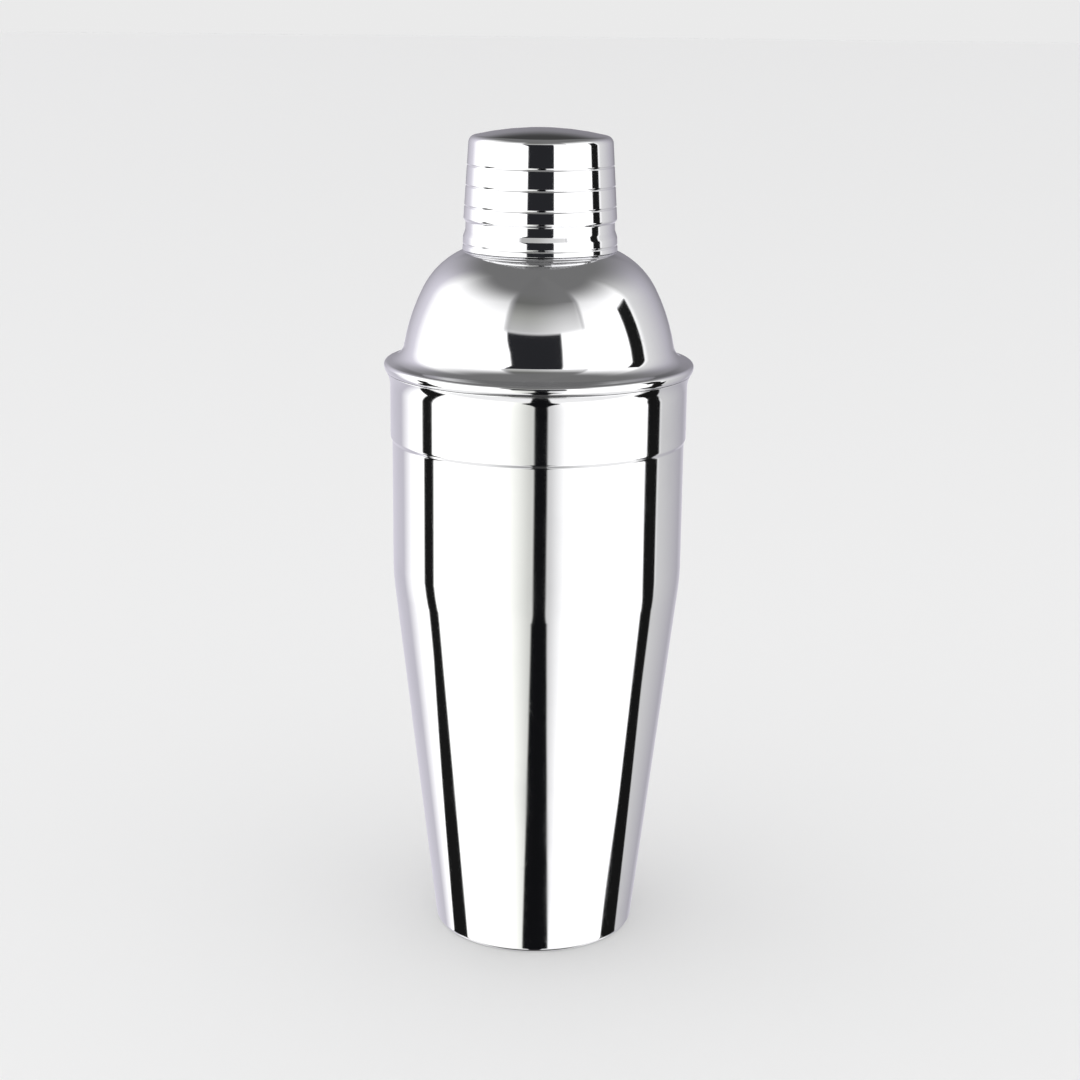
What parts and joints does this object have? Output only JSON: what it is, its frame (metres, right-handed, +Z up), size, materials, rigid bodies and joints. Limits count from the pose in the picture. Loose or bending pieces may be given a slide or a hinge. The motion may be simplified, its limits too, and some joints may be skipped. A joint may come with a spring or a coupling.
{
  "type": "cobbler cocktail shaker",
  "caption": "Polished steel cobbler shaker: tapered cup, domed strainer top that plugs into its collar, and a lift-off measuring cap.",
  "frame": {"origin": "on the shaker's axis, at the plane that the foot ring stands on", "axes": "+Z up along the axis, towards the cap"},
  "size_m": [0.09, 0.09, 0.2401],
  "materials": {
    "polished_steel": "mirror polished stainless steel sheet",
    "satin_steel": "satin stainless steel sheet"
  },
  "bodies": {
    "cup": {"cup": "polished_steel"},
    "strainer": {"strainer_top": "polished_steel", "strainer_plate": "satin_steel"},
    "cap": {"cap": "polished_steel"}
  },
  "joints": [
    {"name": "strainer_lift", "type": "slide", "parent": "cup", "child": "strainer", "axis": [0, 0, 1], "range_m": [0, 0.08]},
    {"name": "cap_lift", "type": "slide", "parent": "strainer", "child": "cap", "axis": [0, 0, 1], "range_m": [0, 0.06]}
  ]
}
